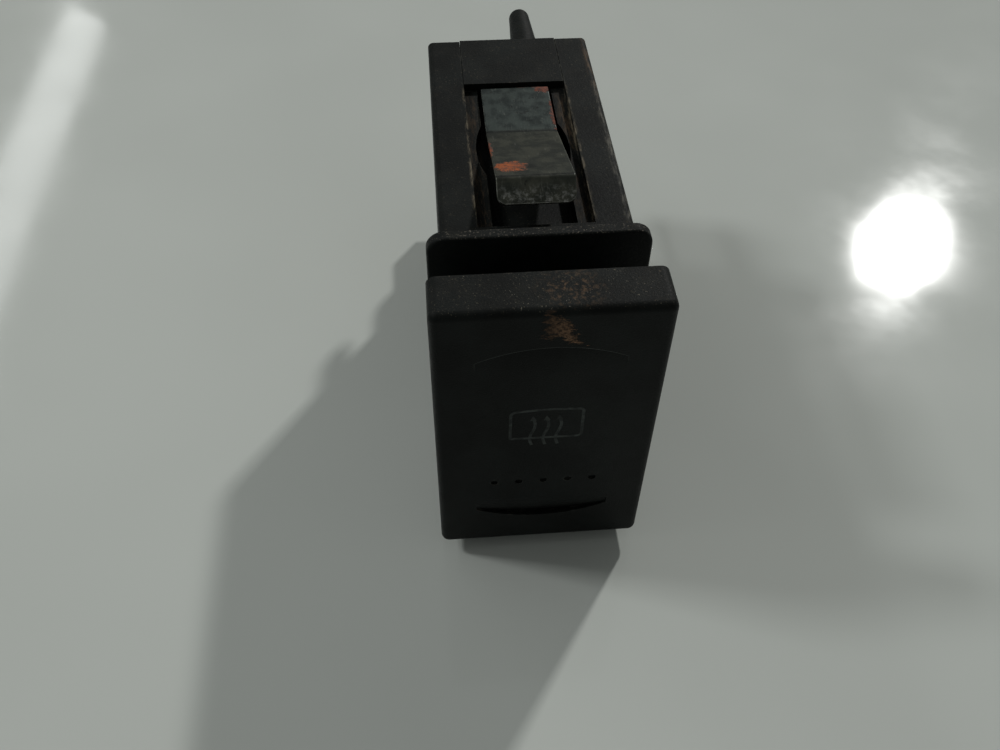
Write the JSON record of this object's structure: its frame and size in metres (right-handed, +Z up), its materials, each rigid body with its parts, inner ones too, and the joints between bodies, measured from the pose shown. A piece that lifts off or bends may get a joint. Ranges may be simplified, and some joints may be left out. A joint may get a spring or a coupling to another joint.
{
  "type": "dashboard rocker switch",
  "caption": "Black dashboard rocker switch with a heated rear window symbol, snap-in spring clips, a tilting sprung contact mechanism and rear blade terminals.",
  "frame": {"origin": "centre of the panel opening, on the plane of the flange's rear face, where the switch seats on the panel", "axes": "+Z up the face of the rocker, +Y from the face towards the terminals, +X to the right as seen from the front"},
  "size_m": [0.0244, 0.068, 0.0438],
  "materials": {
    "black_textured_plastic": "fine spark-eroded grain, matte",
    "black_plastic": "satin moulded",
    "black_plastic_rear": "satin moulded",
    "white_plastic": "smooth moulded",
    "clear_acrylic": "clear",
    "spring_steel": "blued, worn, rust at the edges",
    "brass": "stamped, lightly tarnished",
    "steel_pin": "drawn",
    "silver_contact": "satin",
    "lamp_glass": "clear"
  },
  "bodies": {
    "rocker": {"rocker_cap": "black_textured_plastic", "symbol_diffuser": "white_plastic", "rocker_carrier": "black_plastic", "light_guide": "clear_acrylic"},
    "plunger": {"plunger": "white_plastic", "plunger_spring": "spring_steel"},
    "contact": {"contact_lever": "brass", "contact_pivot_pin": "steel_pin", "moving_contact": "silver_contact"},
    "upper_clip": {"upper_clip_leaf": "spring_steel"},
    "housing": {"housing": "black_plastic", "rear_cover": "black_plastic_rear", "contact_bracket": "brass", "fixed_contact": "silver_contact", "terminal_supply": "brass", "terminal_load": "brass", "terminal_lighting": "brass", "terminal_ground": "brass", "lamp_holder": "white_plastic", "lamp_envelope": "lamp_glass", "lamp_filament": "steel_pin", "upper_clip_foot": "spring_steel", "lower_spring_clip": "spring_steel"}
  },
  "joints": [
    {"name": "rocker_tilt", "type": "hinge", "parent": "housing", "child": "rocker", "pos_m": [0, 0.0035, 0], "axis": [1, 0, 0], "range_deg": [0, 8]},
    {"name": "plunger_slide", "type": "slide", "parent": "rocker", "child": "plunger", "axis": [0, -0.9976, 0.0698], "range_m": [0, 0.0015], "stiffness_N_per_m": 500, "deforming": ["plunger_spring"]},
    {"name": "contact_rock", "type": "hinge", "parent": "housing", "child": "contact", "pos_m": [0.0045, 0.0273, 0], "axis": [1, 0, 0], "range_deg": [-10, 0]},
    {"name": "upper_clip_flex", "type": "hinge", "parent": "housing", "child": "upper_clip", "pos_m": [0, 0.0195, 0.0174], "axis": [1, 0, 0], "range_deg": [0, 15], "stiffness_Nm_per_rad": 1}
  ],
  "couplings": [
    {"joint": "contact_rock", "follows": "rocker_tilt", "ratio": -1.25}
  ]
}
